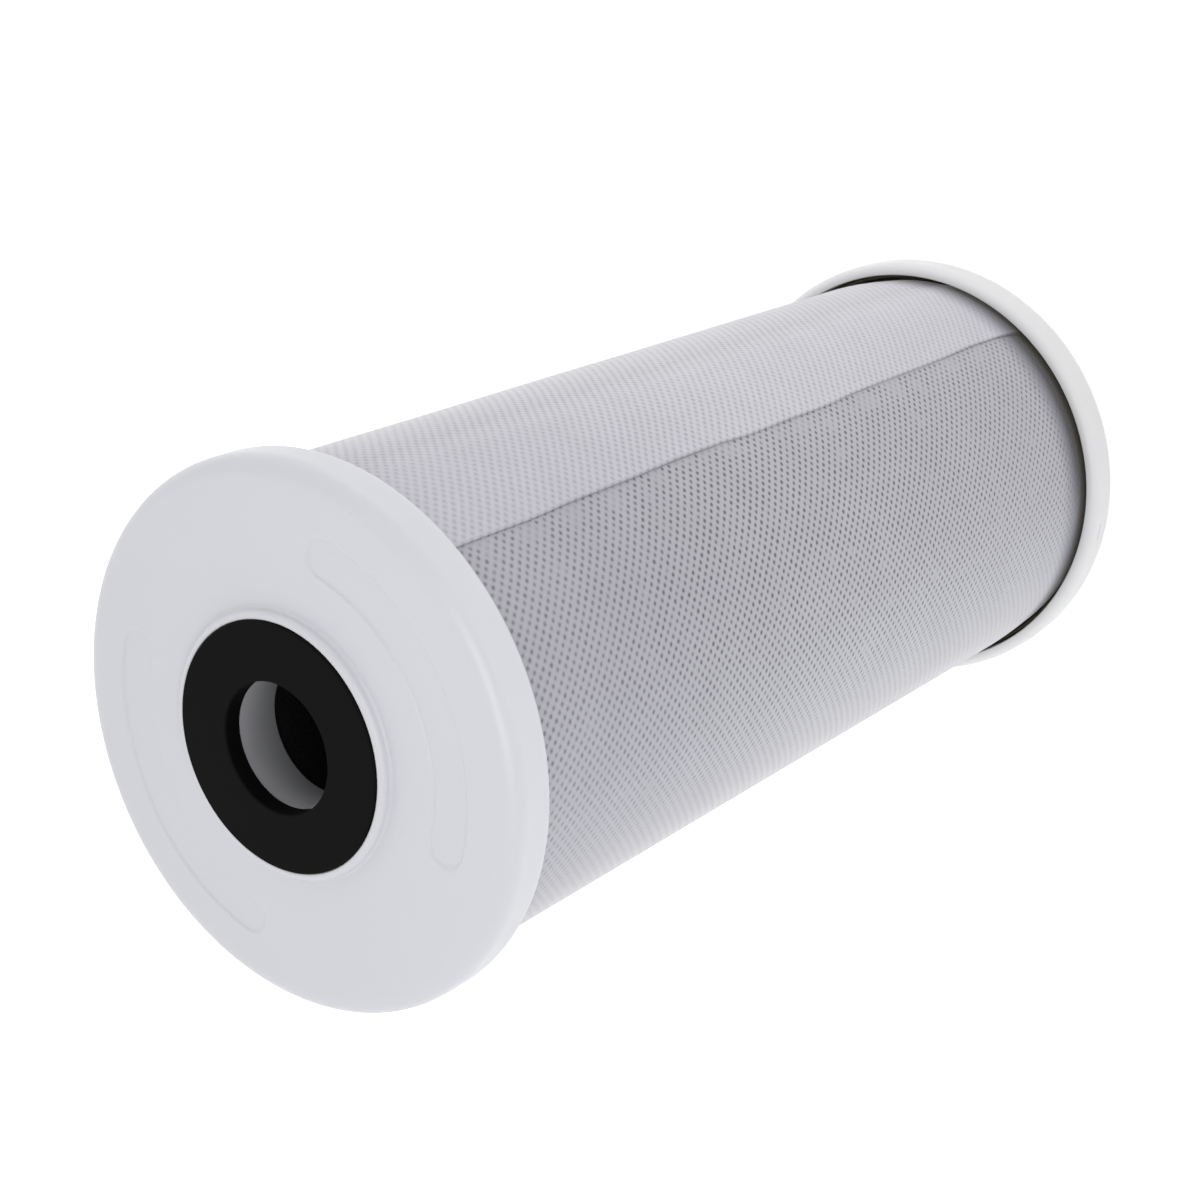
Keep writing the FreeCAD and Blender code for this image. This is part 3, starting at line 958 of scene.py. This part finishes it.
def seen_rays(owner):
    """1 for camera, glossy and transmission rays, and 0 for all others."""
    path = add_node(owner, "ShaderNodeLightPath").outputs
    seen = reckon(owner, "MAXIMUM", path["Is Camera Ray"], path["Is Glossy Ray"])
    return reckon(owner, "MAXIMUM", seen, path["Is Transmission Ray"])


def make_floor(scene):
    """White paper under the cartridge, with extra light for the rays that see it."""
    columns = 64
    ring = ring_angles(columns)
    reach = np.array(FLOOR_RINGS)[:, None]
    rows = len(FLOOR_RINGS)
    grid = np.stack([reach * np.cos(ring), reach * np.sin(ring),
                     np.broadcast_to(FLOOR_HEIGHT, (rows, columns))], axis=2)
    faces = grid_faces(rows, columns, False, True)[:, ::-1].tolist() + [list(range(columns))]
    mesh = bpy.data.meshes.new("studio_floor")
    mesh.from_pydata(grid.reshape(-1, 3).tolist(), [], faces)
    floor = bpy.data.objects.new("studio_floor", mesh)
    scene.collection.objects.link(floor)
    paper, shader = new_finish("studio paper", Roughness=0.9, Base_Color=(0.9, 0.9, 0.9, 1.0))
    glow = add_node(paper, "ShaderNodeEmission",
                    {"Color": WHITE, "Strength": product(paper, seen_rays(paper), 0.52)})
    total = add_node(paper, "ShaderNodeAddShader", {0: shader.outputs[0], 1: glow.outputs[0]})
    output = paper.node_tree.nodes["Material Output"]
    paper.node_tree.links.new(total.outputs[0], output.inputs["Surface"])
    mesh.materials.append(paper)


def light_surroundings(scene, studio):
    """White surroundings: full strength where seen, and dimmer light from the front."""
    world = scene.world or bpy.data.worlds.new("studio surroundings")
    scene.world = world
    world.use_nodes = True
    background = next(node for node in world.node_tree.nodes if node.type == "BACKGROUND")
    direction = add_node(world, "ShaderNodeTexCoord").outputs["Generated"]
    front = reckon_vector(world, "DOT_PRODUCT", {0: direction, 1: FRONT_DIRECTION}, "Value")
    sky = ease(world, front, 0.62, 0.93, studio.sky, studio.sky * studio.front_share)
    level = add_node(world, "ShaderNodeMapRange",
                     {"Value": seen_rays(world), "To Min": sky, "To Max": 1.0})
    world.node_tree.links.new(level.outputs["Result"], background.inputs["Strength"])
    background.inputs["Color"].default_value = WHITE


def place_camera(scene, studio):
    """The camera on its line of sight, rolled about it."""
    lens = bpy.data.cameras.new("studio_camera")
    lens.lens = studio.lens
    lens.sensor_width = 36.0
    lens.clip_start = 0.01
    lens.clip_end = 50.0
    camera = bpy.data.objects.new("studio_camera", lens)
    place = Vector(studio.camera_place)
    sight = (Vector(studio.camera_target) - place).normalized()
    upright = sight.to_track_quat("-Z", "Y").to_matrix().to_4x4()
    roll = Matrix.Rotation(-studio.camera_roll, 4, "Z")
    camera.matrix_world = Matrix.Translation(place) @ upright @ roll
    scene.collection.objects.link(camera)
    scene.camera = camera


class CARTRIDGE_OT_stage(bpy.types.Operator):
    """Make the floor, the surroundings, the softboxes and the camera"""

    bl_idname = "cartridge.stage"
    bl_label = "Studio"

    def execute(self, context):
        scene = context.scene
        studio = scene.cartridge_studio
        make_floor(scene)
        light_surroundings(scene, studio)
        for name, place, target, size, power in SOFTBOXES:
            softbox(name, place, target, size, getattr(studio, power))
        place_camera(scene, studio)
        scene.view_settings.view_transform = "Standard"
        return {"FINISHED"}


class CARTRIDGE_PT_pieces(bpy.types.Panel):
    """Lists the operators in the 3D view's sidebar"""

    bl_label = "Filter cartridge"
    bl_idname = "CARTRIDGE_PT_pieces"
    bl_space_type = "VIEW_3D"
    bl_region_type = "UI"
    bl_category = "Cartridge"

    def draw(self, context):
        column = self.layout.column(align=True)
        for operator in OPERATORS:
            column.operator(operator.bl_idname)


GROUPS = (CartridgeSizes, CartridgeColours, CartridgeStudio)
OPERATORS = (CARTRIDGE_OT_stage, CARTRIDGE_OT_end_caps, CARTRIDGE_OT_gaskets,
             CARTRIDGE_OT_carbon_block, CARTRIDGE_OT_sheet, CARTRIDGE_OT_glue_beds)


def register():
    """Register the groups, operators and panel, and give each scene its settings."""
    for item in (*GROUPS, *OPERATORS, CARTRIDGE_PT_pieces):
        bpy.utils.register_class(item)
    bpy.types.Scene.cartridge_sizes = PointerProperty(type=CartridgeSizes)
    bpy.types.Scene.cartridge_colours = PointerProperty(type=CartridgeColours)
    bpy.types.Scene.cartridge_studio = PointerProperty(type=CartridgeStudio)


def unregister():
    """Undo register."""
    del bpy.types.Scene.cartridge_studio
    del bpy.types.Scene.cartridge_colours
    del bpy.types.Scene.cartridge_sizes
    for item in reversed((*GROUPS, *OPERATORS, CARTRIDGE_PT_pieces)):
        bpy.utils.unregister_class(item)


def main():
    """Register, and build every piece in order."""
    register()
    bpy.ops.cartridge.stage()
    bpy.ops.cartridge.end_caps()
    bpy.ops.cartridge.gaskets()
    bpy.ops.cartridge.carbon_block()
    bpy.ops.cartridge.sheet()
    bpy.ops.cartridge.glue_beds()


if __name__ == "__main__":
    main()
